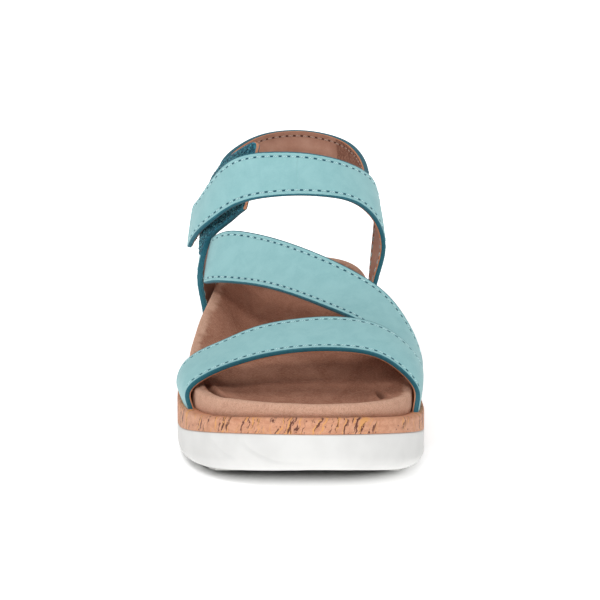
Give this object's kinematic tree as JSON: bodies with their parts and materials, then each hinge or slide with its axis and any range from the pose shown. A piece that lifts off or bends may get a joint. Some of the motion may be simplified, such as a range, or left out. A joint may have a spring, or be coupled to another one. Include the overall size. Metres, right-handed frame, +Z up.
{
  "type": "strappy sport sandal",
  "caption": "Right-foot platform sandal with crossing toe and instep straps, a padded heel sling and a hook-and-loop ankle strap on a cork-wrapped white sole.",
  "frame": {"origin": "on the ground under the middle of the sole's length, on the flat of the forefoot tread", "axes": "+X to the big-toe (medial) side, +Y to the heel, +Z up; the toe points to -Y"},
  "size_m": [0.0978, 0.2666, 0.112],
  "materials": {
    "white_foam": "smooth matte moulded foam",
    "white_rubber": "matte rubber with tread grooves",
    "cork": "cork veneer with dark and golden streaks",
    "core_foam": "light closed-cell foam",
    "steel": "plain strip steel",
    "board": "pressed leather board",
    "suede": "soft brown suede",
    "nubuck": "light teal nubuck with dark painted edges",
    "lining": "smooth tan lining leather",
    "thread": "light teal sewing thread",
    "loop_pile": "dark teal loop pile",
    "hook_pile": "dark teal hook tape"
  },
  "bodies": {
    "sandal": {"midsole": "white_foam", "outsole_forefoot": "white_rubber", "outsole_heel": "white_rubber", "cork_wrap": "cork", "platform_core": "core_foam", "shank": "steel", "insole_board": "board", "footbed_foam": "core_foam", "footbed_cover": "suede", "toe_strap": "nubuck", "toe_strap_lining": "lining", "toe_strap_stitching": "thread", "instep_strap": "nubuck", "instep_strap_lining": "lining", "instep_strap_stitching": "thread", "lateral_quarter": "nubuck", "lateral_quarter_lining": "lining", "lateral_quarter_stitching": "thread", "loop_tape": "loop_pile", "medial_quarter": "nubuck", "medial_quarter_lining": "lining", "medial_quarter_stitching": "thread", "heel_strap": "nubuck", "heel_pad": "core_foam", "heel_strap_lining": "lining", "heel_strap_stitching": "thread"},
    "ankle_strap_body": {"ankle_strap": "nubuck", "ankle_strap_lining": "lining", "ankle_strap_stitching": "thread"},
    "ankle_tab_body": {"ankle_tab": "nubuck", "ankle_tab_lining": "lining", "ankle_tab_stitching": "thread", "hook_tape": "hook_pile"}
  },
  "joints": [
    {"name": "strap_swing", "type": "hinge", "parent": "sandal", "child": "ankle_strap_body", "pos_m": [0.02636, 0.0347, 0.09244], "axis": [0.1218, 0.7952, 0.5939], "range_deg": [0, 110]},
    {"name": "tab_peel", "type": "hinge", "parent": "ankle_strap_body", "child": "ankle_tab_body", "pos_m": [-0.02769, 0.03314, 0.09517], "axis": [0.0174, 0.5217, 0.8529], "range_deg": [0, 55]}
  ]
}
